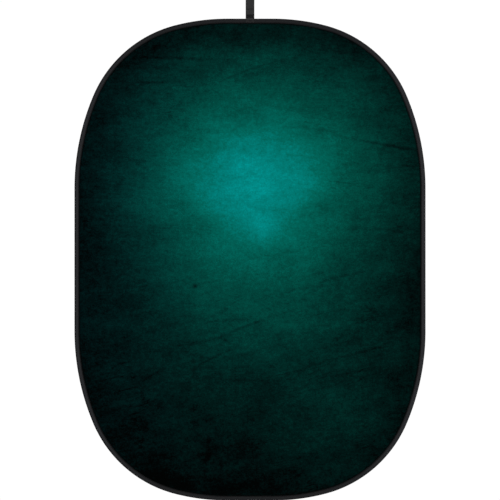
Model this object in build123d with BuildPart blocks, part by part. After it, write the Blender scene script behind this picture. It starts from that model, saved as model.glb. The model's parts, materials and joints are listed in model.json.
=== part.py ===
from build123d import *
from math import acos, atan, atan2, cos, degrees, hypot, radians, sin, tan
import os

os.makedirs("parts", exist_ok=True)

# Collapsible backdrop panel: a printed cloth and a plain rear cloth, held taut by a sprung
# steel hoop inside a sewn binding, hanging from a crossbar by one loop of webbing.
# Millimetres, +Z up. The printed face looks along -Y. The origin is the centre of the
# crossbar that the loop hangs on.

# --- Driving dimensions ----------------------------------------------------------------

# Panel outline. Between the straight sides and the flat top and bottom lies the free curve
# of a bent steel strip: it starts gently, tightens at the corner and eases off again.
panel_width = 1530.0
panel_height = 2100.0
side_radius = 1035.0
side_turn = 23.0
corner_radius = 530.0
corner_turn = 52.5
brow_radius = 915.0

# Hanging loop of webbing
crossbar_radius = 17.5
webbing_width = 38.0
webbing_thickness = 1.6
ply_gap = 0.1
loop_reach = 150.0       # crossbar centre to the top edge of the panel
swing_height = 14.0      # flex line of the strap, above the panel's top edge
neck_height = 45.0       # top of the sewn neck, above the panel's top edge
twist_gap = 0.4

# Binding tape, folded round the steel band and the edges of both cloths
tape_thickness = 0.6
binding_width = 20.0
seam_start = 15.0        # inwards of here the tape lies flat on the cloth
nose_half = 5.0          # half the room inside the fold
nose_depth = 4.0         # how far that room stays open before the tape tapers
lap_length = 38.0
lap_centre = 72.0
lap_clearance = 0.15
layer_gap = 0.1          # between one sewn layer and the next

# Cloths
cloth_thickness = 0.5
cloth_gap = 0.3
cloth_inset = 6.0

# Sprung steel band and its joint
band_width = 8.0
band_thickness = 1.0
band_depth = 1.7         # outer edge of the panel to the band's outer face
band_end_gap = 0.4
ferrule_length = 50.0
ferrule_wall = 0.6
ferrule_clearance = 0.1
crimp_depth = 0.25
crimp_width = 2.0
crimp_spacing = 9.0
crimp_count = 4
wrap_length = 76.0
wrap_thickness = 0.15
cut_overshoot = 1.0      # how much longer a cutting tool is than what it cuts

# Thread
thread_width = 0.9
thread_height = 0.35
seam_depth = 17.4        # outer edge of the panel to the seam
tack_length = 30.0
tack_height = 3.0
tack_core = 0.8
core_clearance = 0.1
box_stitch_height = 9.0
tail_depth = 16.5        # how far the webbing's tails reach below the panel's edge

# Fold line across the middle of the panel
fold_gap = 0.6

# --- Worked-out sizes ------------------------------------------------------------------

side_angle = radians(side_turn)
brow_angle = radians(side_turn + corner_turn)
side_straight = panel_height / 2 - (
    side_radius * sin(side_angle)
    + corner_radius * (sin(brow_angle) - sin(side_angle))
    + brow_radius * (1 - sin(brow_angle))
)

panel_top = -loop_reach
panel_middle = panel_top - panel_height / 2
panel_plane = Plane(origin=(0, 0, panel_middle), x_dir=(1, 0, 0), z_dir=(0, -1, 0))
middle_plane = Plane.XY.offset(panel_middle)

# Sections across the rim are drawn with X as the depth inwards from the panel's edge
rim_plane = Plane(
    origin=(panel_width / 2, 0, panel_middle + fold_gap / 2),
    x_dir=(-1, 0, 0),
    z_dir=(0, 0, -1),
)
bottom_plane = Plane(
    origin=(lap_centre - lap_length / 2, 0, panel_top - panel_height),
    x_dir=(0, 0, 1),
    z_dir=(1, 0, 0),
)
cloth_right = panel_width / 2 - cloth_inset
band_level = panel_top - panel_height + band_depth + band_thickness / 2

seam_half = cloth_gap / 2 + cloth_thickness
binding_half = seam_half + tape_thickness

# Swing line and neck, measured on +Z
swing_level = panel_top + swing_height
neck_level = panel_top + neck_height
ply_inner = ply_gap / 2
ply_outer = ply_inner + webbing_thickness

# The strap's two ends at the flex line taper, so that the panel can swing well past level
tip_gap = 1.0
tip_half = 0.3
tip_angle = radians(21)
tip_length = (ply_outer - tip_half) / tan(tip_angle)


# --- Shared outlines -------------------------------------------------------------------

def half_outline(inset):
    """Upper half of the panel's outline, moved inwards by the inset, open at the fold."""
    right = panel_width / 2 - inset
    side = Line((right, fold_gap / 2), (right, side_straight))
    shoulder = JernArc(side @ 1, side % 1, side_radius - inset, side_turn)
    corner = JernArc(shoulder @ 1, shoulder % 1, corner_radius - inset, corner_turn)
    brow = JernArc(corner @ 1, corner % 1, brow_radius - inset, 90 - side_turn - corner_turn)
    Line(brow @ 1, (0, panel_height / 2 - inset))
    mirror(about=Plane.YZ)


def folded_tape(clearance):
    """Closed section of the folded tape: X is the depth from the panel's edge, Y is across."""
    seam = seam_half + clearance
    nose = nose_half + clearance
    fold = tape_thickness - clearance
    Polyline(
        (binding_width, -seam),
        (seam_start, -seam),
        (nose_depth, -nose),
        (fold, -nose),
        (fold, nose),
        (nose_depth, nose),
        (seam_start, seam),
        (binding_width, seam),
    )
    offset(amount=tape_thickness, side=Side.LEFT)


def tangent_point(radius, offset_y, level):
    """Where a line from (-offset_y, level) touches a circle about the crossbar."""
    turn = atan2(offset_y, -level) + acos(radius / hypot(offset_y, level))
    return (-radius * sin(turn), -radius * cos(turn))


def loop_side(radius, offset_y, level):
    """One face of the loop: up from the neck, over the crossbar and down again."""
    touch = tangent_point(radius, offset_y, level)
    Polyline((-offset_y, level), touch)
    ThreePointArc(touch, (0, radius), (-touch[0], touch[1]))
    Polyline((-touch[0], touch[1]), (offset_y, level))


# --- Hanging loop ----------------------------------------------------------------------

loop_end = neck_level + twist_gap / 2

with BuildPart() as loop_webbing:
    with BuildSketch(Plane.YZ):
        with BuildLine():
            loop_side(crossbar_radius, ply_inner, loop_end)
            loop_side(crossbar_radius + webbing_thickness, ply_outer, loop_end)
            Line((-ply_outer, loop_end), (-ply_inner, loop_end))
            Line((ply_inner, loop_end), (ply_outer, loop_end))
        make_face()
    extrude(amount=webbing_width / 2, both=True)
loop_webbing.part.label = "loop_webbing"
export_step(loop_webbing.part, "parts/loop_webbing.step")

# --- Sewn neck: two plies with a bar tack at each end ------------------------------------

neck_top = neck_level - twist_gap / 2
neck_bottom = swing_level + tip_gap
tack_levels = {
    "upper": neck_top - tack_height,
    "lower": neck_bottom + tip_length + tack_height,
}
pad_offset = ply_outer + thread_height / 2

for ply_name, side in (("neck_ply_front", -1), ("neck_ply_rear", 1)):
    with BuildPart() as neck_ply:
        with BuildSketch(Plane.YZ):
            with BuildLine():
                Polyline(
                    (side * ply_inner, neck_top),
                    (side * ply_inner, neck_bottom),
                    (side * tip_half, neck_bottom),
                    (side * ply_outer, neck_bottom + tip_length),
                    (side * ply_outer, neck_top),
                    close=True,
                )
            make_face()
        extrude(amount=webbing_width / 2, both=True)
        with Locations([(0, 0, level) for level in tack_levels.values()]):
            Box(
                tack_length + 2 * core_clearance,
                4 * webbing_thickness,
                tack_core + 2 * core_clearance,
                mode=Mode.SUBTRACT,
            )
    neck_ply.part.label = ply_name
    export_step(neck_ply.part, f"parts/{ply_name}.step")

for tack_name, tack_level in tack_levels.items():
    with BuildPart() as neck_bar_tack:
        with Locations((0, 0, tack_level)):
            Box(tack_length, 2 * pad_offset, tack_core)
        with Locations((0, -pad_offset, tack_level), (0, pad_offset, tack_level)):
            Box(tack_length, thread_height, tack_height)
    neck_bar_tack.part.label = f"neck_bar_tack_{tack_name}"
    export_step(neck_bar_tack.part, f"parts/neck_bar_tack_{tack_name}.step")

# --- Tails of the webbing, sewn over the front and the back of the binding -----------------

tail_tip = panel_top + swing_height - tip_gap
tail_face = nose_half + tape_thickness + layer_gap
tail_seam = binding_half + layer_gap
tail_slope = atan((tail_face - tail_seam) / (seam_start - nose_depth))
slope_middle_y = (tail_face + tail_seam) / 2 + (webbing_thickness + layer_gap) * cos(tail_slope)
slope_middle_z = panel_top - (nose_depth + seam_start) / 2 - (webbing_thickness + layer_gap) * sin(tail_slope)
stitch_diagonal = hypot(tack_length, box_stitch_height) - 2 * thread_width
stitch_lean = degrees(atan2(box_stitch_height, tack_length))

for side_name, side in (("front", -1), ("rear", 1)):
    with BuildPart() as tail:
        with BuildSketch(Plane.YZ):
            with BuildLine():
                Polyline(
                    (side * ply_inner, tail_tip),
                    (side * ply_inner, tail_tip - tip_length),
                    (side * tail_face, panel_top + layer_gap),
                    (side * tail_face, panel_top - nose_depth),
                    (side * tail_seam, panel_top - seam_start),
                    (side * tail_seam, panel_top - tail_depth),
                )
                offset(amount=webbing_thickness, side=Side.LEFT if side > 0 else Side.RIGHT)
            make_face()
            with BuildLine():
                Polyline(
                    (side * tip_half, tail_tip),
                    (side * 2 * ply_outer, tail_tip),
                    (side * 2 * ply_outer, tail_tip - (2 * ply_outer - tip_half) / tan(tip_angle)),
                    close=True,
                )
            make_face(mode=Mode.SUBTRACT)
        extrude(amount=webbing_width / 2, both=True)
    tail.part.label = f"tail_{side_name}"
    export_step(tail.part, f"parts/tail_{side_name}.step")

    stitch_plane = Plane(
        origin=(0, side * slope_middle_y, slope_middle_z),
        x_dir=(1, 0, 0),
        z_dir=(0, side * cos(tail_slope), -sin(tail_slope)),
    )
    with BuildPart() as tail_box_stitch:
        with BuildSketch(stitch_plane):
            Rectangle(tack_length, box_stitch_height)
            Rectangle(
                tack_length - 2 * thread_width,
                box_stitch_height - 2 * thread_width,
                mode=Mode.SUBTRACT,
            )
            for lean in (stitch_lean, -stitch_lean):
                Rectangle(stitch_diagonal, thread_width, rotation=lean)
        extrude(amount=thread_height)
    tail_box_stitch.part.label = f"tail_box_stitch_{side_name}"
    export_step(tail_box_stitch.part, f"parts/tail_box_stitch_{side_name}.step")

# --- Binding tape, in two halves that meet at the fold line ---------------------------------

with BuildLine(panel_plane) as rim_run:
    half_outline(0)
rim_path = rim_run.wire()

with BuildPart() as binding_upper:
    with BuildSketch(rim_plane):
        with BuildLine():
            folded_tape(0)
        make_face()
    sweep(path=rim_path)
binding_upper.part.label = "binding_upper"
export_step(binding_upper.part, "parts/binding_upper.step")

with BuildPart() as binding_lower:
    mirror(binding_upper.part, about=middle_plane)
binding_lower.part.label = "binding_lower"
export_step(binding_lower.part, "parts/binding_lower.step")

# The tape's end, lapped over its start at the bottom, with room for the thread under it
thread_top = binding_half + layer_gap + thread_height
with BuildPart() as binding_lap:
    with BuildSketch(bottom_plane):
        with BuildLine():
            folded_tape(tape_thickness + lap_clearance)
        make_face()
        with Locations((seam_depth, 0)):
            Rectangle(thread_width + layer_gap, 2 * thread_top, mode=Mode.SUBTRACT)
    extrude(amount=lap_length)
binding_lap.part.label = "binding_lap"
export_step(binding_lap.part, "parts/binding_lap.step")

# Row of stitching through the tape and both cloths, front and rear
for side_name, side in (("front", -1), ("rear", 1)):
    with BuildPart() as binding_seam_upper:
        with BuildSketch(rim_plane):
            with Locations((seam_depth, side * (binding_half + layer_gap / 2 + thread_height / 2))):
                Rectangle(thread_width, thread_height)
        sweep(path=rim_path)
    binding_seam_upper.part.label = f"binding_seam_{side_name}_upper"
    export_step(binding_seam_upper.part, f"parts/binding_seam_{side_name}_upper.step")

    with BuildPart() as binding_seam_lower:
        mirror(binding_seam_upper.part, about=middle_plane)
    binding_seam_lower.part.label = f"binding_seam_{side_name}_lower"
    export_step(binding_seam_lower.part, f"parts/binding_seam_{side_name}_lower.step")

# --- Cloths ------------------------------------------------------------------------------

for side_name, start in (("front", cloth_gap / 2), ("rear", -seam_half)):
    with BuildPart() as cloth_upper:
        with BuildSketch(panel_plane.offset(start)):
            with BuildLine():
                half_outline(cloth_inset)
                Line((-cloth_right, fold_gap / 2), (cloth_right, fold_gap / 2))
            make_face()
        extrude(amount=cloth_thickness)
    cloth_upper.part.label = f"cloth_{side_name}_upper"
    export_step(cloth_upper.part, f"parts/cloth_{side_name}_upper.step")

    with BuildPart() as cloth_lower:
        mirror(cloth_upper.part, about=middle_plane)
    cloth_lower.part.label = f"cloth_{side_name}_lower"
    export_step(cloth_lower.part, f"parts/cloth_{side_name}_lower.step")

# --- Sprung steel hoop -------------------------------------------------------------------

with BuildPart() as hoop_upper:
    with BuildSketch(rim_plane):
        with Locations((band_depth + band_thickness / 2, 0)):
            Rectangle(band_thickness, band_width)
    sweep(path=rim_path)
hoop_upper.part.label = "hoop_upper"
export_step(hoop_upper.part, "parts/hoop_upper.step")

for end_name, end_side, kept in (("right", 1, Keep.TOP), ("left", -1, Keep.BOTTOM)):
    with BuildPart() as hoop_lower:
        mirror(hoop_upper.part, about=middle_plane)
        split(bisect_by=Plane.YZ.offset(end_side * band_end_gap / 2), keep=kept)
    hoop_lower.part.label = f"hoop_lower_{end_name}"
    export_step(hoop_lower.part, f"parts/hoop_lower_{end_name}.step")

# --- Crimped ferrule round the band's two ends, and the tape wrapped round it -----------------

with BuildPart() as hoop_ferrule:
    with Locations((0, 0, band_level)):
        Box(
            ferrule_length,
            band_width + 2 * (ferrule_clearance + ferrule_wall),
            band_thickness + 2 * (ferrule_clearance + ferrule_wall),
        )
        Box(
            ferrule_length + cut_overshoot,
            band_width + 2 * ferrule_clearance,
            band_thickness + 2 * ferrule_clearance,
            mode=Mode.SUBTRACT,
        )
    crimp_offset = band_thickness / 2 + ferrule_clearance + ferrule_wall
    for face_level in (band_level - crimp_offset, band_level + crimp_offset):
        with Locations((0, 0, face_level)):
            with GridLocations(crimp_spacing, 0, crimp_count, 1):
                Box(crimp_width, 2 * band_width, 2 * crimp_depth, mode=Mode.SUBTRACT)
hoop_ferrule.part.label = "hoop_ferrule"
export_step(hoop_ferrule.part, "parts/hoop_ferrule.step")

with BuildPart() as ferrule_wrap:
    wrap_inner = ferrule_clearance + ferrule_wall + layer_gap / 2
    with Locations((0, 0, band_level)):
        Box(
            wrap_length,
            band_width + 2 * (wrap_inner + wrap_thickness),
            band_thickness + 2 * (wrap_inner + wrap_thickness),
        )
        Box(
            wrap_length + cut_overshoot,
            band_width + 2 * wrap_inner,
            band_thickness + 2 * wrap_inner,
            mode=Mode.SUBTRACT,
        )
ferrule_wrap.part.label = "ferrule_wrap"
export_step(ferrule_wrap.part, "parts/ferrule_wrap.step")
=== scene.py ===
import json
import math

import bmesh
import bpy
import numpy as np
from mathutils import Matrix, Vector


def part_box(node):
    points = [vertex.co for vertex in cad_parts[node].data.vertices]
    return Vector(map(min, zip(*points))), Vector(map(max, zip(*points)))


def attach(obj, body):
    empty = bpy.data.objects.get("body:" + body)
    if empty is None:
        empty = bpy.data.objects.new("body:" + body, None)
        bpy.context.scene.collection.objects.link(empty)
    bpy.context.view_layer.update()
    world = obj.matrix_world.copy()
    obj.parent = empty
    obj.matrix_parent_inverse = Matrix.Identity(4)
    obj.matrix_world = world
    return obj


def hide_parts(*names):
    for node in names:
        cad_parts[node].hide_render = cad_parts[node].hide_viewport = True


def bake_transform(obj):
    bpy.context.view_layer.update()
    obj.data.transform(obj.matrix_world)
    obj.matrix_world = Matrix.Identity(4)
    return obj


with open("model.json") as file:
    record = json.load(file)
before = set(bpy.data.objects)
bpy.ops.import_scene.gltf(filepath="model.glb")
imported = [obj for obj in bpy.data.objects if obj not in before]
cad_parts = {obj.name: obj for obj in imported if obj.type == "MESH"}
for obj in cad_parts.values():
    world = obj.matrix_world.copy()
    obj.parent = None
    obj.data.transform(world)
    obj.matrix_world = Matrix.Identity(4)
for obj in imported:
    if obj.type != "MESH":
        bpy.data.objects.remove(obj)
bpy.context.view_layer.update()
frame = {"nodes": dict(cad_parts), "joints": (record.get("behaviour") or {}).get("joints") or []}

# Collapsible backdrop panel, in metres and in the frame's own axes: the printed face looks
# along -Y, +Z is up, and the origin is the centre of the crossbar that the panel hangs from.

# --- Sizes --------------------------------------------------------------------------------------

JOINT_AT = {joint["name"]: joint["pos_m"] for joint in frame["joints"]}
TWIST_LEVEL = JOINT_AT["strap_twist"][2]
SWING_LEVEL = JOINT_AT["panel_swing"][2]

HALF_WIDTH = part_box("binding_upper")[1][0]
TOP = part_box("binding_upper")[1][2]
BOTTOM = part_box("binding_lower")[0][2]
MIDDLE = (TOP + BOTTOM) / 2
HALF_HEIGHT = (TOP - BOTTOM) / 2

# the rim's arcs, from the middle of a side to the top: radius and turn
SIDE_RADIUS, SIDE_TURN = 1.035, math.radians(23.0)
CORNER_RADIUS, CORNER_TURN = 0.530, math.radians(52.5)
BROW_RADIUS = 0.915

# depths are measured inwards from the rim's outermost line
TAPE_WIDTH = 0.020
SEAM_DEPTH = 0.0174
CLOTH_DEPTH = 0.0065         # where the cloth's cut edge lies, inside the folded tape
CLOTH_THICKNESS = 0.0005
CLOTH_OFFSET = 0.0004        # from the panel's middle plane to the middle of each cloth
CLOTH_PITCH = 0.0007         # from thread to thread of both cloths
BAND_THICKNESS = 0.001       # of the hoop's steel band
SEAM_FACE = 0.00112          # from the panel's middle plane to the tape's face at the seam
SEAM_SWAY = 0.0004           # how far the seam and the tape's edge wander to each side

WEBBING_WIDTH = 2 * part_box("loop_webbing")[1][0]
WEBBING_THICKNESS = 0.0016
CROSSBAR_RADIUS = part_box("loop_webbing")[1][2] - WEBBING_THICKNESS
PLY_OFFSET = WEBBING_THICKNESS / 2 + 0.00005

# what bends: both bodies, and where the bend starts and ends
FOLD = ("upper_panel", "lower_panel", (0, 0, MIDDLE + 0.2), (0, 0, MIDDLE - 0.2))
TWIST = ("hanging_loop", "strap_neck", (0, 0, -0.03), (0, 0, TWIST_LEVEL))
SWING = ("strap_neck", "upper_panel", (0, 0, SWING_LEVEL + 0.0065), (0, 0, SWING_LEVEL - 0.0065))

rng = np.random.default_rng(7)


# --- The rim's line -----------------------------------------------------------------------------

def quarter_line(step=0.0005):
    """Distance, x, z and heading along the rim, from the middle of the right side to the top."""
    brow_turn = math.pi / 2 - SIDE_TURN - CORNER_TURN
    lean = SIDE_TURN + CORNER_TURN
    flat = HALF_WIDTH - (
        SIDE_RADIUS * (1 - math.cos(SIDE_TURN))
        + CORNER_RADIUS * (math.cos(SIDE_TURN) - math.cos(lean))
        + BROW_RADIUS * math.cos(lean)
    )
    side = HALF_HEIGHT - (
        SIDE_RADIUS * math.sin(SIDE_TURN)
        + CORNER_RADIUS * (math.sin(lean) - math.sin(SIDE_TURN))
        + BROW_RADIUS * (1 - math.sin(lean))
    )
    runs = [
        (side, 0.0),
        (SIDE_RADIUS * SIDE_TURN, SIDE_TURN),
        (CORNER_RADIUS * CORNER_TURN, CORNER_TURN),
        (BROW_RADIUS * brow_turn, brow_turn),
        (flat, 0.0),
    ]
    marks = np.cumsum([0.0] + [length for length, turn in runs])
    headings = math.pi / 2 + np.cumsum([0.0] + [turn for length, turn in runs])
    along = np.linspace(0, marks[-1], int(marks[-1] / step))
    heading = np.interp(along, marks, headings)
    middle = (heading[1:] + heading[:-1]) / 2
    span = along[1] - along[0]
    x = HALF_WIDTH + np.concatenate([[0.0], np.cumsum(np.cos(middle) * span)])
    z = np.concatenate([[0.0], np.cumsum(np.sin(middle) * span)])
    return along, x, z, heading


ALONG, LINE_X, LINE_Z, LINE_HEADING = quarter_line()
QUARTER = ALONG[-1]
RIM_LENGTH = 4 * QUARTER


def rim(at):
    """Points on the rim and their inward normals, in XZ about the panel's middle. Distances
    start at the middle of the right side: QUARTER is the top, 3 * QUARTER the bottom."""
    t = np.mod(np.asarray(at, float), RIM_LENGTH)
    quarter = np.floor(t / QUARTER).astype(int)
    s = t - quarter * QUARTER
    s = np.where(quarter % 2 == 1, QUARTER - s, s)
    sign_x = np.where((quarter == 1) | (quarter == 2), -1.0, 1.0)
    sign_z = np.where(quarter >= 2, -1.0, 1.0)
    heading = np.interp(s, ALONG, LINE_HEADING)
    x = np.interp(s, ALONG, LINE_X) * sign_x
    z = np.interp(s, ALONG, LINE_Z) * sign_z
    inward = np.stack([-np.sin(heading) * sign_x, np.cos(heading) * sign_z], axis=-1)
    return np.stack([x, z], axis=-1), inward


def stations(count):
    return (np.arange(count) + 0.5) * RIM_LENGTH / count


# --- Meshes -------------------------------------------------------------------------------------

def make_mesh(name, vertices, faces, layers):
    """A smooth mesh. layers holds face corner coordinates for each named UV map."""
    mesh = bpy.data.meshes.new(name)
    mesh.from_pydata(np.asarray(vertices).tolist(), [], np.asarray(faces).tolist())
    for layer, coordinates in layers.items():
        made = mesh.uv_layers.new(name=layer)
        made.data.foreach_set("uv", np.asarray(coordinates, np.float32).ravel())
    mesh.polygons.foreach_set("use_smooth", [True] * len(mesh.polygons))
    mesh.update()
    piece = bpy.data.objects.new(name, mesh)
    bpy.context.scene.collection.objects.link(piece)
    return piece


def skin(name, points, layers, close_rows=False, close_columns=False, flip=False):
    """A skin over a grid of points. Each layer has one more row or column where it closes."""
    rows, columns = points.shape[:2]
    i = np.arange(rows if close_rows else rows - 1)
    j = np.arange(columns if close_columns else columns - 1)
    i, j = [a.ravel() for a in np.meshgrid(i, j, indexing="ij")]
    corners = [(i, j), (i + 1, j), (i + 1, j + 1), (i, j + 1)]
    if flip:
        corners.reverse()
    faces = np.stack([(a % rows) * columns + b % columns for a, b in corners], axis=-1)
    at_corners = {
        layer: np.stack([grid[a, b] for a, b in corners], axis=1) for layer, grid in layers.items()}
    return make_mesh(name, points.reshape(-1, 3), faces, at_corners)


def edit(piece, action):
    work = bmesh.new()
    work.from_mesh(piece.data)
    work.verts.ensure_lookup_table()
    action(work)
    work.to_mesh(piece.data)
    work.free()


def cap_ends(piece, rows, columns):
    """Closes both ends of a tube made from a grid, and turns its faces outwards."""
    def action(work):
        work.faces.new([work.verts[k] for k in range(columns)])
        work.faces.new([work.verts[(rows - 1) * columns + k] for k in range(columns)])
        bmesh.ops.recalc_face_normals(work, faces=work.faces)
    edit(piece, action)


def weld(piece):
    edit(piece, lambda work: bmesh.ops.remove_doubles(work, verts=work.verts, dist=1e-6))


# a stitch is a six-sided tube: the faces that close its ends are written out for six sides
STITCH_SIDES, STITCH_RINGS = 6, 4


def stitch_template(width, height):
    """A short thread of length 1: thick in the middle, its ends drawn down into the cloth."""
    points = []
    for k in range(STITCH_RINGS):
        share = k / (STITCH_RINGS - 1)
        swell = math.sin(math.pi * (0.12 + 0.76 * share))
        for n in range(STITCH_SIDES):
            turn = 2 * math.pi * n / STITCH_SIDES
            points.append((
                share - 0.5,
                0.5 * width * swell * math.cos(turn),
                height * (swell - 0.45) + 0.5 * height * swell * math.sin(turn),
            ))
    quads, corners = [], []
    for k in range(STITCH_RINGS - 1):
        for n in range(STITCH_SIDES):
            a, b = k * STITCH_SIDES + n, k * STITCH_SIDES + (n + 1) % STITCH_SIDES
            quads.append((a, b, b + STITCH_SIDES, a + STITCH_SIDES))
            corners.append([(k, n), (k, n + 1), (k + 1, n + 1), (k + 1, n)])
    last = (STITCH_RINGS - 1) * STITCH_SIDES
    for cap in ((0, 5, 4, 3), (0, 3, 2, 1), (last, last + 1, last + 2, last + 3),
                (last, last + 3, last + 4, last + 5)):
        quads.append(cap)
        corners.append([(0, 0)] * 4)
    layer = np.array(corners, float) / (STITCH_RINGS - 1, STITCH_SIDES)
    return np.array(points), np.array(quads), layer


def stitches(name, starts, ends, out, width=0.0007, height=0.00024):
    """Threads from each start to each end, standing out of the cloth along out."""
    starts, ends = np.asarray(starts, float), np.asarray(ends, float)
    run = ends - starts
    length = np.linalg.norm(run, axis=1, keepdims=True)
    along = run / length
    across = np.cross(np.broadcast_to(out, along.shape), along)
    across /= np.linalg.norm(across, axis=1, keepdims=True)
    raised = np.cross(along, across)
    template, quads, layer = stitch_template(width, height)
    axes = np.stack([along * length, across, raised], axis=1)
    vertices = np.einsum("vk,nkc->nvc", template, axes) + ((starts + ends) / 2)[:, None, :]
    offsets = np.arange(len(starts)) * len(template)
    faces = (quads[None] + offsets[:, None, None]).reshape(-1, 4)
    layers = {"laid": np.tile(layer, (len(starts), 1, 1))}
    return make_mesh(name, vertices.reshape(-1, 3), faces, layers)


def settle(piece, finish, slot, nodes=(), body=None, bend=None):
    """Gives a piece its material and hides the CAD nodes that it stands for. A piece on one body is
    parented to that body's empty; a piece given a bend only has its transform baked.
    """
    piece.data.materials.append(finish)
    if nodes:
        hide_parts(*nodes)
    if bend:
        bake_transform(piece)
    else:
        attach(piece, body)
    return piece


# --- Materials ----------------------------------------------------------------------------------

class Value:
    """A node's output. Arithmetic on it adds Math nodes."""

    def __init__(self, finish, socket):
        self.finish = finish
        self.socket = socket

    def __add__(self, other):
        return self.finish.calc("ADD", self, other)

    def __sub__(self, other):
        return self.finish.calc("SUBTRACT", self, other)

    def __rsub__(self, other):
        return self.finish.calc("SUBTRACT", other, self)

    def __mul__(self, other):
        return self.finish.calc("MULTIPLY", self, other)

    def __abs__(self):
        return self.finish.calc("ABSOLUTE", self)

    __radd__ = __add__
    __rmul__ = __mul__


class Finish:
    """A material under construction. Each method adds nodes and returns their output."""

    def __init__(self, name):
        self.material = bpy.data.materials.new(name)
        self.material.use_nodes = True
        self.tree = self.material.node_tree
        self.shader = self.tree.nodes["Principled BSDF"]

    def connect(self, socket, value):
        if isinstance(value, Value):
            self.tree.links.new(value.socket, socket)
        else:
            socket.default_value = value

    def node(self, kind, inputs=(), output=0, **settings):
        made = self.tree.nodes.new("ShaderNode" + kind)
        for key, value in settings.items():
            setattr(made, key, value)
        for key, value in dict(inputs).items():
            self.connect(made.inputs[key], value)
        return Value(self, made.outputs[output])

    def calc(self, operation, a, b=0.0):
        return self.node("Math", {0: a, 1: b}, operation=operation)

    def laid(self, layer="laid"):
        return self.node("UVMap", uv_map=layer)

    def position(self):
        return self.node("TexCoord", output=3)

    def split(self, vector):
        parts = self.node("SeparateXYZ", {0: vector}).socket.node
        return Value(self, parts.outputs[0]), Value(self, parts.outputs[1])

    def place(self, vector, scale):
        return self.node("Mapping", {"Vector": vector, "Scale": scale})

    def slanted(self, vector, degrees, stretch):
        """Coordinates that draw a texture out that many times along a slope."""
        slope = (0, 0, math.radians(degrees))
        return self.node("Mapping", {
            "Vector": vector, "Scale": (1.0, 1 / stretch, 1.0), "Rotation": slope},
            vector_type="TEXTURE")

    def noise(self, vector, scale, detail=2.0, roughness=0.5):
        """Noise about zero, from -0.5 to 0.5."""
        return self.node("TexNoise", {
            "Vector": vector, "Scale": scale, "Detail": detail, "Roughness": roughness}) - 0.5

    def span(self, value, low, high, to_low=0.0, to_high=1.0, smooth=False):
        return self.node("MapRange", {
            "Value": value, "From Min": low, "From Max": high, "To Min": to_low, "To Max": to_high},
            interpolation_type="SMOOTHSTEP" if smooth else "LINEAR")

    def ramp(self, value, stops):
        made = self.node("ValToRGB", {0: value})
        elements = made.socket.node.color_ramp.elements
        while len(elements) < len(stops):
            elements.new(0.5)
        for element, (position, colour) in zip(elements, stops):
            element.position = position
            element.color = colour
        return made

    def mix(self, share, a, b, blend="MIX"):
        return self.node("Mix", {0: share, 6: a, 7: b}, 2, data_type="RGBA", blend_type=blend)

    def bump(self, height, distance, strength=1.0):
        return self.node("Bump", {"Height": height, "Distance": distance, "Strength": strength})

    def done(self, **inputs):
        for key, value in inputs.items():
            self.connect(self.shader.inputs[key.replace("_", " ")], value)
        return self.material


def shade(red, green, blue):
    """Scene-linear colour from 8-bit display values."""
    def one(value):
        c = value / 255
        return c / 12.92 if c <= 0.04045 else ((c + 0.055) / 1.055) ** 2.4
    return (one(red), one(green), one(blue), 1.0)


def weave(finish, vector, pitch):
    """Plain weave of threads at that pitch, as a height from -1 to 1."""
    across, down = finish.split(vector)
    turns = math.pi / pitch
    return finish.calc("SINE", across * turns) * finish.calc("SINE", down * turns)


# --- The print ----------------------------------------------------------------------------------

# Everything here is a tone, which is display brightness from 0 to 1. x and z are in metres
# from the panel's middle. The glow: where it is, how it stretches, and its tone with distance.
GLOW_X, GLOW_Z = 0.025, 0.34
GLOW_UP, GLOW_LEFT, GLOW_RIGHT = 0.96, 0.96, 0.87
GLOW_KNEE, GLOW_BELOW_KNEE = 0.23, 0.86
GLOW_REACH = 1.25
TONE_SHIFT = -0.012           # takes up what the lights and the mottling add
GLOW_TONES = [
    (0.00, 0.518), (0.08, 0.503), (0.18, 0.441), (0.30, 0.334), (0.44, 0.234),
    (0.58, 0.140), (0.72, 0.063), (0.90, 0.047), (1.20, 0.012),
]

# The ink: an all but constant red, and how much blue goes with each level of green
RED = 1.5
BLUES = [(0, 0), (10, 10), (25, 23), (45, 40), (70, 61), (95, 85), (125, 121), (160, 160)]

# Its slight cast from left to right, bluer to greener, out to this far from the middle
CAST_REACH = 0.75
CAST = [(0.0, (1, 0.95, 1.1, 1)), (0.35, (1, 1, 1, 1)), (1.0, (1, 1.02, 0.97, 1))]

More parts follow.
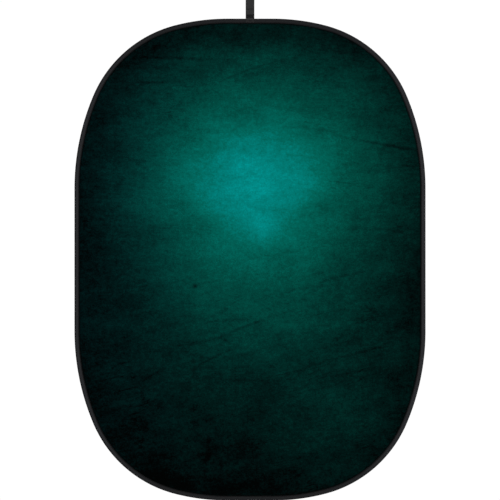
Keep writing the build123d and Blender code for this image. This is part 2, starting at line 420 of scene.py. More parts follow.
# Soft lighter and darker areas: x, z, half width, half height, tone added
PATCHES = [
    (0.21, -0.34, 0.61, 0.25, 0.067),
    (-0.25, -0.56, 0.41, 0.73, 0.037),
    (0.37, -0.75, 0.26, 0.27, 0.083),
    (0.06, 0.142, 0.055, 0.06, 0.070),
    (-0.30, 0.135, 0.25, 0.06, -0.022),
    (0.33, 0.22, 0.20, 0.06, -0.034),
    (-0.18, -0.80, 0.05, 0.06, -0.014),
    (-0.57, -0.29, 0.11, 0.02, 0.022),
    (-0.57, -0.47, 0.09, 0.04, 0.020),
    (-0.56, -0.98, 0.55, 0.05, -0.035),
    (0.44, 0.135, 0.02, 0.012, -0.050),
    (-0.24, -0.115, 0.008, 0.008, -0.100),
    (-0.108, -0.350, 0.008, 0.008, -0.090),
    (-0.085, 0.78, 0.06, 0.02, 0.012),
    (0.00, 0.98, 0.70, 0.13, -0.018),
    (0.03, 0.62, 0.20, 0.10, -0.028),
    (0.47, 0.76, 0.15, 0.10, 0.028),
    (-0.50, 0.26, 0.12, 0.06, 0.024),
    (-0.17, 0.43, 0.08, 0.06, -0.020),
    (0.61, 0.10, 0.08, 0.10, -0.018),
    (0.71, -0.17, 0.06, 0.14, -0.028),
    (-0.71, 0.20, 0.06, 0.22, -0.022),
    (-0.02, 0.79, 0.08, 0.05, -0.020),
    (0.27, 0.43, 0.08, 0.07, -0.020),
    (-0.045, -0.79, 0.05, 0.06, -0.020),
    (0.09, -0.79, 0.05, 0.05, 0.020),
    (0.00, 0.89, 0.45, 0.04, 0.022),
    (-0.54, 0.84, 0.06, 0.05, -0.024),
    (0.14, 0.49, 0.07, 0.06, -0.022),
    (0.14, 0.00, 0.07, 0.05, -0.020),
    (-0.675, 0.165, 0.055, 0.04, 0.042),
    (-0.56, -0.52, 0.05, 0.03, 0.022),
    (0.59, -0.05, 0.05, 0.04, 0.020),
    (-0.37, 0.79, 0.13, 0.07, 0.025),
    (-0.275, -0.83, 0.05, 0.05, 0.032),
    (0.14, -0.725, 0.07, 0.04, 0.026),
    (-0.35, 0.32, 0.06, 0.05, 0.025),
    (-0.22, -0.46, 0.06, 0.04, 0.026),
    (0.59, 0.48, 0.05, 0.04, -0.022),
    (-0.71, 0.37, 0.05, 0.05, -0.022),
    (-0.40, 0.01, 0.05, 0.05, -0.022),
    (0.38, 0.43, 0.06, 0.05, 0.022),
    (-0.04, -0.36, 0.05, 0.04, -0.020),
    (0.28, 0.84, 0.07, 0.04, 0.020),
    (-0.44, -0.26, 0.08, 0.06, -0.018),
    (0.48, -0.61, 0.09, 0.07, 0.018),
]

# Brushed strokes: start, end, sideways bow, half width, tone taken away
STROKE_SPREAD = 1.7           # how far past its half width a stroke fades out
STROKES = [
    ((-0.550, 0.880), (-0.130, 0.870), 0.004, 0.0068, 0.066),
    ((-0.510, 0.774), (-0.275, 0.778), -0.003, 0.0062, 0.088),
    ((-0.160, 0.760), (0.175, 0.874), 0.014, 0.0056, 0.062),
    ((-0.124, 0.788), (0.061, 0.816), 0.004, 0.0053, 0.030),
    ((0.084, 0.576), (0.440, 0.545), 0.010, 0.0078, 0.048),
    ((0.350, 0.549), (0.780, 0.470), -0.005, 0.0070, 0.076),
    ((-0.102, 0.353), (0.061, 0.393), -0.010, 0.0070, 0.033),
    ((-0.026, 0.238), (0.170, 0.212), -0.008, 0.0085, 0.030),
    ((0.205, 0.208), (0.334, 0.240), 0.008, 0.0078, 0.036),
    ((0.436, 0.139), (0.680, 0.122), 0.002, 0.0062, 0.030),
    ((0.080, 0.008), (0.190, 0.032), 0.003, 0.0062, 0.036),
    ((-0.260, -0.118), (-0.110, -0.087), 0.003, 0.0056, 0.044),
    ((0.130, -0.147), (0.350, -0.111), 0.006, 0.0078, 0.074),
    ((0.290, -0.103), (0.550, -0.042), 0.004, 0.0062, 0.080),
    ((-0.220, -0.274), (0.030, -0.262), 0.003, 0.0056, 0.055),
    ((-0.345, -0.378), (-0.050, -0.316), -0.008, 0.0065, 0.064),
    ((-0.110, -0.330), (0.070, -0.258), 0.004, 0.0065, 0.074),
    ((0.050, -0.262), (0.240, -0.200), -0.004, 0.0056, 0.039),
    ((-0.260, -0.484), (-0.055, -0.382), 0.006, 0.0056, 0.060),
    ((-0.485, -0.542), (-0.352, -0.464), 0.004, 0.0062, 0.060),
    ((-0.605, -0.463), (-0.515, -0.446), 0.002, 0.0056, 0.044),
    ((0.220, -0.477), (0.655, -0.365), 0.006, 0.0059, 0.060),
    ((0.330, -0.520), (0.560, -0.470), 0.003, 0.0056, 0.039),
    ((-0.120, -0.526), (0.120, -0.530), 0.003, 0.0056, 0.056),
    ((-0.075, -0.600), (0.045, -0.595), 0.002, 0.0053, 0.039),
    ((0.480, -0.184), (0.590, -0.248), -0.006, 0.0065, 0.039),
    ((0.175, -0.632), (0.305, -0.668), 0.004, 0.0053, 0.039),
    ((0.320, -0.800), (0.420, -0.750), 0.004, 0.0053, 0.036),
    ((-0.150, -0.716), (-0.040, -0.712), -0.003, 0.0053, 0.039),
    ((-0.180, -0.775), (-0.190, -0.890), 0.004, 0.0093, 0.060),
]


def patch(finish, x, z, centre_x, centre_z, half_width, half_height, tone):
    across = (x - centre_x) * (1 / half_width)
    down = (z - centre_z) * (1 / half_height)
    return finish.calc("EXPONENT", 0.0 - (across * across + down * down)) * tone


def stroke(finish, x, z, start, end, bow, half_width, tone):
    """What tone one bowed brush stroke takes away at a place."""
    run = math.hypot(end[0] - start[0], end[1] - start[1])
    ux, uz = (end[0] - start[0]) / run, (end[1] - start[1]) / run
    dx, dz = x - start[0], z - start[1]
    along = (dx * ux + dz * uz) * (1 / run)
    parabola = along * (1.0 - along)
    aside = dz * ux - dx * uz - parabola * (4 * bow)
    core = finish.span(abs(aside), half_width * STROKE_SPREAD, 0.0, smooth=True)
    return core * finish.span(parabola, 0.0, 0.20) * tone


def printed_cloth():
    finish = Finish("printed_cloth")
    laid = finish.laid()
    x, z = finish.split(laid)
    depth = finish.split(finish.laid("rim"))[0]

    # the glow, whose reach wavers as if it were laid on by hand
    waver = finish.noise(laid, 3.5, 3.0)
    dx = x - GLOW_X
    dz = z - GLOW_Z
    right = finish.calc("MAXIMUM", dx, 0.0) * GLOW_RIGHT
    side = right - finish.calc("MINIMUM", dx, 0.0) * GLOW_LEFT
    below = finish.calc("MAXIMUM", 0.0 - dz, 0.0)
    down = finish.calc("MINIMUM", below, GLOW_KNEE)
    down = down + finish.calc("MAXIMUM", below - GLOW_KNEE, 0.0) * GLOW_BELOW_KNEE
    rise = finish.calc("MAXIMUM", dz, 0.0) * GLOW_UP + down
    reach = finish.calc("SQRT", side * side + rise * rise) + waver * 0.10
    stops = [(at / GLOW_REACH, (tone, tone, tone, 1.0)) for at, tone in GLOW_TONES]
    tone = finish.split(finish.ramp(reach * (1 / GLOW_REACH), stops))[0]
    for each in PATCHES:
        tone = tone + patch(finish, x, z, *each)

    # streaks and scratches: nearly level in the upper half, rising to the right in the lower
    lower = finish.span(z + waver * 0.5, 0.22, -0.12, smooth=True)

    def drawn(stretch, scale, detail=2.0, roughness=0.5):
        level = finish.noise(finish.slanted(laid, -3, stretch), scale, detail, roughness)
        rising = finish.noise(finish.slanted(laid, 15, stretch), scale, detail, roughness)
        return level, rising

    def blended(pair):
        return pair[0] * (1.0 - lower) + pair[1] * lower

    long_streaks = blended(drawn(6.5, 4.8, 0.0))
    short_streaks = blended(drawn(5.0, 14.0, 3.0, 0.6))
    contour = blended([abs(value) for value in drawn(9.0, 3.0)])
    patchy = finish.span(finish.noise(laid, 5.0, 2.0), -0.02, 0.14)
    scratches = finish.span(contour, 0.015, 0.0) * patchy

    # brush strokes, made of bristle lines and broken where the brush ran dry
    strokes = stroke(finish, x, z, *STROKES[0])
    for each in STROKES[1:]:
        strokes = finish.calc("MAXIMUM", strokes, stroke(finish, x, z, *each))
    bristles = finish.span(blended(drawn(7.0, 55.0)), -0.16, 0.16, 0.25, 1.05)
    dry = finish.span(finish.noise(laid, 22.0, 2.0), -0.25, 0.05, 0.35, 1.0)
    strokes = strokes * bristles * dry

    # mottling, from clouds a hand wide down to the grain of the cloth
    clouds = finish.noise(finish.place(laid, (0.8, 1.2, 1.0)), 7.5, 3.0)
    blotches = finish.noise(finish.place(laid, (1.0, 1.1, 1.0)), 27.0, 1.0)
    flecks = finish.noise(finish.place(laid, (0.95, 1.15, 1.0)), 62.0, 2.0, 0.6)
    grain = finish.noise(finish.place(laid, (1.1, 1.1, 1.0)), 135.0, 2.0, 0.7)
    mottle = clouds * 0.12 + blotches * 0.070 + flecks * 0.120 + grain * 0.15
    drawn_marks = long_streaks * 0.021 + short_streaks * 0.044 - scratches * 0.050 - strokes
    tone = tone + TONE_SHIFT + mottle * (tone * 0.5 + 0.92) + drawn_marks
    # painted shade: the print is darkened in a narrow band beside the binding, where the tape's
    # edge shades the cloth
    tone = tone * finish.span(depth, 0.0195, 0.027, 0.15, 1.0, smooth=True)

    stops = [(level / 255, shade(RED, level, blue)) for level, blue in BLUES]
    colour = finish.ramp(tone, stops)
    cast = finish.ramp(finish.span(x, -CAST_REACH, CAST_REACH), CAST)
    colour = finish.mix(1.0, colour, cast, blend="MULTIPLY")

    cloth = weave(finish, laid, CLOTH_PITCH)
    slub = finish.noise(finish.place(laid, (1.0, 30.0, 1.0)), 40.0, 2.0)
    return finish.done(
        Base_Color=colour, Roughness=0.88, Specular_IOR_Level=0.03,
        Specular_Tint=(0.1, 0.85, 0.8, 1.0), Normal=finish.bump(cloth + slub, 0.00012, 0.6))


# --- Other materials ----------------------------------------------------------------------------

# from one rib or thread to the next
TAPE_RIBS, TAPE_THREADS = 0.0011, 0.0009
WEBBING_RIBS, WEBBING_CORDS, WEBBING_CHEVRON = 0.0021, 0.0011, 0.0032


def binding_finish():
    """Ribbed binding tape with painted shade in its rib grooves, along its outer fold (deeper on
    the left), in the gully where the seam draws it in, and over the top and bottom of the rim.
    """
    finish = Finish("binding_tape")
    laid = finish.laid()
    depth, along = finish.split(finish.laid("rim"))
    rib = finish.calc("SINE", along * (2 * math.pi / TAPE_RIBS))
    cross = finish.calc("SINE", depth * (2 * math.pi / TAPE_THREADS))
    dye = finish.noise(finish.place(laid, (1.0, 4.0, 1.0)), 30.0, 4.0, 0.6)
    lint = finish.span(finish.noise(laid, 420.0, 2.0, 0.6), 0.20, 0.32)
    # painted shade: the tape's colour follows the ribs' height, darker in the grooves and lighter
    # on the ribs
    rib_shade = finish.span(rib + cross * 0.6, -1.6, 1.6)
    base = finish.mix(rib_shade, shade(20, 20, 22), shade(44, 45, 47))
    base = finish.mix(finish.span(dye, -0.25, 0.25, 0.0, 0.5), base, shade(37, 38, 40))
    base = finish.mix(lint * 0.35, base, shade(78, 78, 80))
    # round the rim, 0 is the middle of the right side and pi the middle of the left
    turn = along * (2 * math.pi / RIM_LENGTH)
    to_ends = finish.calc("COSINE", turn * 2.0 - math.pi)
    to_left = finish.calc("COSINE", turn - math.pi)
    # painted shade: the whole tape is darker at the top and bottom of the rim, its outer fold is
    # darker, much more on the left than on the right, and a dark band runs in the gully beside the
    # seam
    painted_shade_ends = finish.span(to_ends, -0.3, 0.8, 1.14, 0.52, smooth=True)
    painted_fold_light = finish.span(to_left, 0.0, 0.6, 0.8, 0.10, smooth=True)
    painted_fold_shade = finish.span(depth, 0.0030, 0.0076, 1.0, 0.0, smooth=True)
    painted_seam_shade = finish.span(depth, SEAM_DEPTH - 0.0030, SEAM_DEPTH - 0.0009, 1.0, 0.10, smooth=True)
    lit_share = (1.0 - painted_fold_shade * (1.0 - painted_fold_light)) * painted_seam_shade * painted_shade_ends
    shaded_tape = finish.mix(1.0 - lit_share, base, shade(3, 3, 4))
    return finish.done(
        Base_Color=shaded_tape, Roughness=0.72, Specular_IOR_Level=0.12,
        Normal=finish.bump(rib + cross * 0.5 + dye, 0.00012, 0.7))


def rear_finish():
    """Plain black cloth: woven threads with a painted highlight on their crests, uneven picks and
    ends, uneven dye and lint.
    """
    finish = Finish("rear_cloth")
    laid = finish.laid()
    depth = finish.split(finish.laid("rim"))[0]
    cloth = weave(finish, laid, CLOTH_PITCH)
    weft = finish.noise(finish.place(laid, (1.0, 14.0, 1.0)), 45.0, 3.0, 0.6)
    warp = finish.noise(finish.place(laid, (14.0, 1.0, 1.0)), 45.0, 3.0, 0.6)
    picks = finish.noise(finish.place(laid, (0.5, 6.0, 1.0)), 18.0, 3.0, 0.6)
    ends = finish.noise(finish.place(laid, (6.0, 0.5, 1.0)), 18.0, 3.0, 0.6)
    dye = finish.noise(laid, 4.0, 5.0, 0.62)
    tone = weft * 0.5 + warp * 0.4 + picks * 0.9 + ends * 0.6 + dye * 1.2
    base = finish.mix(finish.span(tone, -0.55, 0.55), shade(30, 30, 33), shade(64, 64, 68))
    # painted highlight: the crests of the weave are lighter
    base = finish.mix(finish.span(cloth, -1.0, 1.0, 0.0, 0.3), base, shade(76, 76, 81))
    lint = finish.span(finish.noise(laid, 190.0, 2.0, 0.6), 0.24, 0.34)
    base = finish.mix(lint * 0.4, base, shade(110, 110, 114))
    seam_shade = finish.span(depth, 0.0195, 0.026, 0.8, 0.0, smooth=True)
    relief = cloth * 0.5 + weft + warp + picks * 0.5
    return finish.done(
        Base_Color=finish.mix(seam_shade, base, shade(4, 4, 4)), Roughness=0.6,
        Specular_IOR_Level=0.3, Sheen_Weight=0.08, Sheen_Roughness=0.5,
        Normal=finish.bump(relief, 0.0003, 0.6))


def webbing_finish():
    """Chevron webbing with a closer, darker selvage along both edges, and painted shade in the
    grooves between its ribs and cords.
    """
    finish = Finish("webbing")
    laid = finish.laid()
    across, down = finish.split(laid)
    rows = down + finish.calc("PINGPONG", across, WEBBING_CHEVRON)
    ribs = finish.calc("SINE", rows * (2 * math.pi / WEBBING_RIBS))
    cords = finish.calc("SINE", across * (2 * math.pi / WEBBING_CORDS))
    height = ribs * 0.7 + cords * 0.4
    fuzz = finish.noise(laid, 900.0, 2.0) + 0.5
    wear = finish.noise(finish.place(laid, (1.0, 0.4, 1.0)), 90.0, 3.0)
    # painted shade: the colour follows the ribs' and cords' height, darker in the grooves and
    # lighter on top
    body = finish.mix(finish.span(height + wear, -1.1, 1.2), shade(16, 16, 16), shade(52, 52, 53))
    body = finish.mix(fuzz * 0.22, body, shade(62, 62, 64))
    edge = finish.span(abs(across), WEBBING_WIDTH / 2 - 0.0045, WEBBING_WIDTH / 2 - 0.0015)
    return finish.done(
        Base_Color=finish.mix(edge * 0.6, body, shade(14, 14, 14)), Roughness=0.7,
        Specular_IOR_Level=0.15, Normal=finish.bump(height, 0.00025, 0.8))


def thread_finish():
    """Twisted black thread: slanting plies with painted shade between them, and a slight polyester
    shine.
    """
    finish = Finish("thread")
    along, around = finish.split(finish.laid())
    plies = finish.calc("SINE", (along * 4.0 + around * 2.0) * (2 * math.pi))
    # painted shade: the colour is darker in the grooves between the plies
    colour = finish.mix(finish.span(plies, -1.0, 1.0), shade(3, 3, 4), shade(16, 16, 18))
    return finish.done(
        Base_Color=colour, Roughness=0.6, Specular_IOR_Level=0.1,
        Normal=finish.bump(plies, 0.00008, 0.6))


def steel_finish(name, place, colour, dull, roughness):
    """Rolled steel: lines drawn along it, and an uneven tone."""
    finish = Finish(name)
    where = finish.laid() if place == "laid" else finish.position()
    drawn = finish.noise(finish.place(where, (6.0, 5000.0, 6.0)), 1.0, 3.0)
    stain = finish.noise(where, 14.0, 3.0)
    base = finish.mix(finish.span(stain, -0.2, 0.3, 0.0, 0.8), colour, dull)
    rough = finish.span(drawn, -0.2, 0.2, roughness - 0.08, roughness + 0.12)
    return finish.done(
        Base_Color=base, Metallic=1.0, Roughness=rough, Normal=finish.bump(drawn, 0.00003, 0.4))


def wrap_finish():
    """Cloth-backed adhesive tape, creased where it is pulled round the joint, with painted shade in
    the creases.
    """
    finish = Finish("wrap_tape")
    where = finish.position()
    creases = finish.noise(finish.place(where, (3.0, 1.0, 1.0)), 180.0, 4.0)
    # painted shade: the colour is darker in the creases
    base = finish.mix(finish.span(creases, -0.25, 0.25), shade(14, 14, 15), shade(40, 40, 42))
    return finish.done(
        Base_Color=base, Roughness=0.45, Specular_IOR_Level=0.4,
        Normal=finish.bump(creases, 0.0002, 0.5))


# --- Binding and seams --------------------------------------------------------------------------

# Section of the folded tape, in millimetres: depth from the rim and half the thickness there
TAPE_OUTER = [
    (20.0, 0.72), (20.0, 1.12), (19.4, 1.26), (18.4, 1.24), (17.4, 1.10), (16.4, 1.26),
    (15.2, 1.48), (13.2, 2.12), (10.0, 3.32), (6.8, 4.55), (4.4, 5.36), (2.6, 5.58),
    (1.2, 5.28), (0.35, 4.5), (0.0, 3.2), (0.0, 1.1),
]
TAPE_INNER = [
    (0.6, 1.1), (0.6, 3.1), (0.95, 4.2), (1.7, 4.85), (3.0, 4.98), (4.4, 4.74),
    (6.8, 3.92), (10.0, 2.68), (13.2, 1.48), (15.2, 0.84), (17.4, 0.70),
]


def tape_outside():
    """The tape's outer skin from the front leg's edge, over the rim, to the rear leg's."""
    front = [(depth, -half) for depth, half in TAPE_OUTER]
    rear = [(depth, half) for depth, half in reversed(TAPE_OUTER)]
    return np.array(front + rear) / 1000


def tape_section():
    rear = [(depth, half) for depth, half in reversed(TAPE_INNER)]
    front = [(depth, -half) for depth, half in TAPE_INNER]
    return np.concatenate([tape_outside(), np.array(rear + front) / 1000])


def along_rim(section, at):
    """Points of a section of (depth, across) carried round the rim. It may vary on the way."""
    line, inward = rim(at)
    depth = section[..., 0] if section.ndim == 3 else section[:, None, 0]
    across = section[..., 1] if section.ndim == 3 else section[:, None, 1]
    x = line[:, 0] + inward[:, 0] * depth
    z = MIDDLE + line[:, 1] + inward[:, 1] * depth
    return np.stack([x, np.broadcast_to(across, x.shape), z], axis=-1)


def section_layers(section, at):
    """UV maps of a closed section along the rim: the skin laid flat, and (depth, distance)."""
    steps = np.linalg.norm(np.diff(section, axis=0, append=section[:1]), axis=1)
    girth = np.concatenate([[0.0], np.cumsum(steps)])
    depth = np.append(section[:, 0], section[0, 0])
    along = np.append(at, 2 * at[-1] - at[-2])
    girth_grid, along_grid = np.meshgrid(girth, along, indexing="ij")
    depth_grid = np.broadcast_to(depth[:, None], girth_grid.shape)
    return {
        "laid": np.stack([along_grid, girth_grid], axis=-1),
        "rim": np.stack([depth_grid, along_grid], axis=-1)}


def open_skin(name, section, at):
    """A closed section carried along one stretch of the rim, with both of its ends capped."""
    layers = {
        layer: grid[:, :-1].transpose(1, 0, 2)
        for layer, grid in section_layers(section, at).items()}
    points = along_rim(section, at).transpose(1, 0, 2)
    piece = skin(name, points, layers, close_columns=True)
    cap_ends(piece, len(at), len(section))
    return piece


def whole_waves(counts):
    """Random waves with whole counts round the rim, so that they meet where it closes."""
    parts = [(count, rng.random(), rng.uniform(0.6, 1.0)) for count in counts]

    def height(at):
        heights = [
            size * np.sin(2 * math.pi * (count * at / RIM_LENGTH + phase))
            for count, phase, size in parts]
        return sum(heights) / len(parts)

    return height


SEAM_WANDER = whole_waves((23, 37, 61))
EDGE_WANDER = whole_waves((140, 190))
GATHERS = whole_waves((211, 293, 367))
PUCKERS = whole_waves((31, 47, 74, 97, 121))


def make_binding(finish):
    at = stations(1280)
    section = tape_section()
    grid = np.repeat(section[:, None, :], len(at), axis=1)
    near_edge = np.clip((section[:, 0] - 0.014) / 0.006, 0, 1)[:, None]
    grid[..., 0] += near_edge * (SEAM_SWAY * SEAM_WANDER(at) + 0.0002 * EDGE_WANDER(at))
    outside = np.arange(len(section)) < len(tape_outside())
    gathered = (outside * np.clip(1 - np.abs(section[:, 0] - 0.0145) / 0.006, 0, 1))[:, None]
    grid[..., 1] *= 1 + 0.16 * gathered * GATHERS(at)
    piece = skin("binding_tape", along_rim(grid, at), section_layers(section, at), True, True)
    return settle(piece, finish, "binding_tape", ("binding_upper", "binding_lower"), bend=FOLD)


def make_seam(name, side, finish):
    """One row of lockstitch near the binding's inner edge, each stitch slightly slanted."""
    pitch, length = 0.0034, 0.0027
    at = stations(int(RIM_LENGTH / pitch))
    line, inward = rim(at)
    depth = SEAM_DEPTH + SEAM_SWAY * SEAM_WANDER(at)
    middle = line + inward * depth[:, None]
    slant = rng.normal(0.06, 0.03, len(at))[:, None]
    along = np.stack([-inward[:, 1], inward[:, 0]], axis=-1)
    half = (along * np.cos(slant) + inward * np.sin(slant)) * length / 2
    surface = np.full(len(at), side * SEAM_FACE)

    def in_space(flat):
        return np.stack([flat[:, 0], surface, MIDDLE + flat[:, 1]], axis=-1)

    starts, ends = in_space(middle - half), in_space(middle + half)
    piece = stitches("seam_" + name, starts, ends, (0, side, 0), width=0.0008, height=0.0003)
    nodes = ["binding_seam_" + name + end for end in ("_upper", "_lower")]
    return settle(piece, finish, "thread", nodes, bend=FOLD)


def make_lap(finish, thread):
    """The tape's end, lapped over its start at the bottom of the panel and stitched across."""
    low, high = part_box("binding_lap")
    outside = tape_outside()
    tangent = np.gradient(outside, axis=0)
    tangent /= np.linalg.norm(tangent, axis=1)[:, None]
    out = np.stack([-tangent[:, 1], tangent[:, 0]], axis=-1)
    under, over, on_top = 0.00016, 0.00075, 0.00078
    section = np.concatenate([outside + out * over, (outside + out * under)[::-1]])
    piece = open_skin("binding_lap", section, 3 * QUARTER + np.linspace(low[0], high[0], 24))
    settle(piece, finish, "binding_tape", ("binding_lap",), body="lower_panel")

    legs = outside[:, 0] > 0.0012
    pitch, length, inset = 0.0032, 0.0025, 0.003
    starts, ends = [], []
    for x in (low[0] + inset, high[0] - inset):
        for side in (-1, 1):
            leg = (outside + out * on_top)[legs & (outside[:, 1] * side > 0)]
            leg = leg[np.argsort(leg[:, 0])]
            for first in np.arange(0.0025, 0.0165, pitch):
                for bag, depth in ((starts, first), (ends, first + length)):
                    bag.append((x, np.interp(depth, leg[:, 0], leg[:, 1]), BOTTOM + depth))
    starts, ends = np.array(starts), np.array(ends)
    out_y = np.stack([np.zeros(len(starts)), np.sign(starts[:, 1]), np.zeros(len(starts))], axis=-1)
    rows = stitches("lap_stitches", starts, ends, out_y)
    return settle(rows, thread, "thread", body="lower_panel")


def make_hoop(finish):
    """The steel band, whose two ends meet in the ferrule at the bottom."""
    low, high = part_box("hoop_lower_right")
    near, half, soft = low[2] - BOTTOM, high[1], 0.00015
    far = near + BAND_THICKNESS
    section = np.array([
        (near + soft, -half), (far - soft, -half), (far, soft - half), (far, half - soft),
        (far - soft, half), (near + soft, half), (near, half - soft), (near, soft - half)])
    at = np.linspace(3 * QUARTER + low[0], 7 * QUARTER - low[0], 721)
    piece = open_skin("steel_hoop", section, at)
    nodes = ("hoop_upper", "hoop_lower_left", "hoop_lower_right")
    return settle(piece, finish, "spring_steel", nodes, bend=FOLD)


# --- Cloths -------------------------------------------------------------------------------------

def sway(x, z, depth, at):
    """How far the taut cloth stands out of its plane: slow waves, and puckers at the seam."""
    waves = (
        0.0011 * np.sin(2 * math.pi * (x / 0.83 + 0.15)) * np.cos(2 * math.pi * z / 1.27)
        + 0.0008 * np.sin(2 * math.pi * (0.45 * x + z) / 0.61 + 1.1)
        + 0.0005 * np.sin(2 * math.pi * (x - 0.6 * z) / 0.38 + 2.3)
    )
    free = np.maximum(depth - TAPE_WIDTH - 0.001, 0)
    pucker = np.clip(free / 0.012, 0, 1) * np.exp(-free / 0.05) * PUCKERS(at)
    return waves * (1 - np.exp(-free / 0.09)) + 0.0016 * pucker


def make_cloth(name, side, finish):
    """One cloth of the panel, stretched across the hoop from its edge inside the tape."""
    at = stations(400)
    line, inward = rim(at)
    tucked = np.array([CLOTH_DEPTH, 0.011, 0.0155, 0.018, 0.0195, 0.0205, 0.022, 0.0245, 0.028])
    bands = line[None] + inward[None] * tucked[:, None, None]
    share = 1 - np.linspace(0, 1, 78)[1:] ** 1.2
    flat = np.concatenate([bands, bands[-1:] * share[:, None, None]])
    from_last = np.linalg.norm(bands[-1], axis=1) * (1 - share[:, None])
    depth = np.concatenate([np.repeat(tucked[:, None], len(at), axis=1), tucked[-1] + from_last])
    out = sway(flat[..., 0], flat[..., 1], depth, at[None])
    points = np.stack([flat[..., 0], side * CLOTH_OFFSET - out, flat[..., 1] + MIDDLE], axis=-1)
    rim_map = np.stack([depth, np.broadcast_to(at, depth.shape)], axis=-1)
    last = rim_map[:, -1:] + (0, at[1] - at[0])
    layers = {
        "laid": np.concatenate([flat, flat[:, :1]], axis=1),
        "rim": np.concatenate([rim_map, last], axis=1)}
    piece = skin("cloth_" + name, points, layers, close_columns=True, flip=side > 0)
    weld(piece)
    thick = piece.modifiers.new("thickness", "SOLIDIFY")
    thick.thickness = CLOTH_THICKNESS
    thick.offset = 0
    nodes = ["cloth_" + name + end for end in ("_upper", "_lower")]
    settle(piece, finish, "printed_cloth" if side < 0 else "rear_cloth", nodes, bend=FOLD)
    return piece


# --- Strap --------------------------------------------------------------------------------------

TACK_THREADS = 44             # lengths of thread in each dense row

def smoothed(points, spacing, softness):
    """A line in YZ with evenly spaced points, and its corners eased over that distance."""
    points = np.asarray(points, float)
    lengths = np.concatenate([[0.0], np.cumsum(np.linalg.norm(np.diff(points, axis=0), axis=1))])
    at = np.linspace(0, lengths[-1], int(lengths[-1] / spacing) + 1)
    line = np.stack([np.interp(at, lengths, points[:, k]) for k in (0, 1)], axis=-1)
    reach = max(1, int(softness / spacing))
    weights = np.hanning(2 * reach + 3)[1:-1]
    weights /= weights.sum()
    padded = np.concatenate([
        2 * line[:1] - line[1:reach + 1][::-1], line, 2 * line[-1:] - line[-reach - 1:-1][::-1]])
    return np.stack([np.convolve(padded[:, k], weights, mode="valid") for k in (0, 1)], axis=-1)


def normals_of(line):
    tangent = np.gradient(line, axis=0)
    tangent /= np.linalg.norm(tangent, axis=1)[:, None]
    return np.stack([-tangent[:, 1], tangent[:, 0]], axis=-1)


def webbing_section():
    """Outline of the webbing seen end on, (across, out): shallow ribs and rolled selvages."""
    half, out = WEBBING_WIDTH / 2, WEBBING_THICKNESS / 2
    across = np.concatenate([
        np.linspace(-half + 0.0008, -half + 0.004, 5), np.linspace(-half + 0.005, half - 0.005, 29),
        np.linspace(half - 0.004, half - 0.0008, 5)])
    ribs = 0.00005 * np.cos(across * 2 * math.pi / 0.0026)
    bead = 0.00006 * np.exp(-((np.abs(across) - half + 0.0016) / 0.001) ** 2)
    face = np.stack([across, out - 0.0001 + ribs + bead], axis=-1)
    turn = np.linspace(0, math.pi, 7)[1:-1]
    edge = np.stack([half - 0.0008 + 0.0008 * np.sin(turn), 0.00068 * np.cos(turn)], axis=-1)
    return np.concatenate([face, edge, face[::-1] * (1, -1), edge[::-1] * (-1, 1)])


def make_webbing(name, line, finish, nodes, bend):
    section = webbing_section()
    yz = line[:, None, :] + normals_of(line)[:, None, :] * section[None, :, 1, None]
    x = np.broadcast_to(section[:, 0], yz.shape[:2])[..., None]
    along = np.concatenate([[0.0], np.cumsum(np.linalg.norm(np.diff(line, axis=0), axis=1))])
    closed = np.append(section[:, 0], section[0, 0])
    laid = np.stack(np.broadcast_arrays(closed[None, :], along[:, None]), axis=-1)
    points = np.concatenate([x, yz], axis=-1)
    piece = skin(name, points, {"laid": laid}, close_columns=True)
    cap_ends(piece, len(line), len(section))
    return settle(piece, finish, "webbing", nodes, bend=bend)


def loop_line():
    """Middle of the webbing from the front of the neck, over the crossbar, to the back."""
    radius = CROSSBAR_RADIUS + WEBBING_THICKNESS / 2
    end_z = TWIST_LEVEL - 0.002
    touch = math.atan2(PLY_OFFSET, -end_z) + math.acos(radius / math.hypot(PLY_OFFSET, end_z))
    turns = np.linspace(touch, 2 * math.pi - touch, 60)
    arc = [(-radius * math.sin(turn), -radius * math.cos(turn)) for turn in turns]
    return smoothed([(-PLY_OFFSET, end_z)] + arc + [(PLY_OFFSET, end_z)], 0.0011, 0.004)


def ply_line(side):
    """Middle of one ply, from the neck down over the rim to its cut end on the binding."""
    down = [
        (PLY_OFFSET, TWIST_LEVEL - 0.002), (PLY_OFFSET, SWING_LEVEL + 0.001),
        (0.0012, SWING_LEVEL - 0.0025), (0.0036, TOP + 0.0048), (0.0061, TOP + 0.0008),
        (0.00665, TOP - 0.0022), (0.00645, TOP - 0.0046), (0.00245, TOP - 0.0148),
        (0.0023, TOP - 0.0164),
    ]
    return smoothed([(side * y, z) for y, z in down], 0.0009, 0.0020)


def on_ply(side, places):
    """Lifts (x, z) places onto the outer face of one ply."""
    line = ply_line(side)
    face = line + normals_of(line) * side * WEBBING_THICKNESS * 0.52
    order = np.argsort(face[:, 1])
    places = np.asarray(places, float)
    y = np.interp(places[:, 1], face[order, 1], face[order, 0])
    return np.stack([places[:, 0], y, places[:, 1]], axis=-1)


def zigzag(half_width, low, high, count):
    """Starts and ends, in (x, z), of a dense row of thread that runs up and down."""
    x = np.linspace(-half_width, half_width, count + 1)
    up = np.arange(count) % 2 == 0
    starts = np.stack([x[:-1], np.where(up, low, high)], axis=-1)
    ends = np.stack([x[1:], np.where(up, high, low)], axis=-1)
    return starts, ends


def running(start, end, pitch=0.0026, gap=0.1):
    """Starts and ends, in (x, z), of single stitches along one straight row."""
    start, end = np.asarray(start), np.asarray(end)
    count = max(2, round(float(np.linalg.norm(end - start)) / pitch))
    at, run = np.arange(count)[:, None] / count, end - start
    return start + run * (at + gap / count), start + run * (at + (1 - gap) / count)


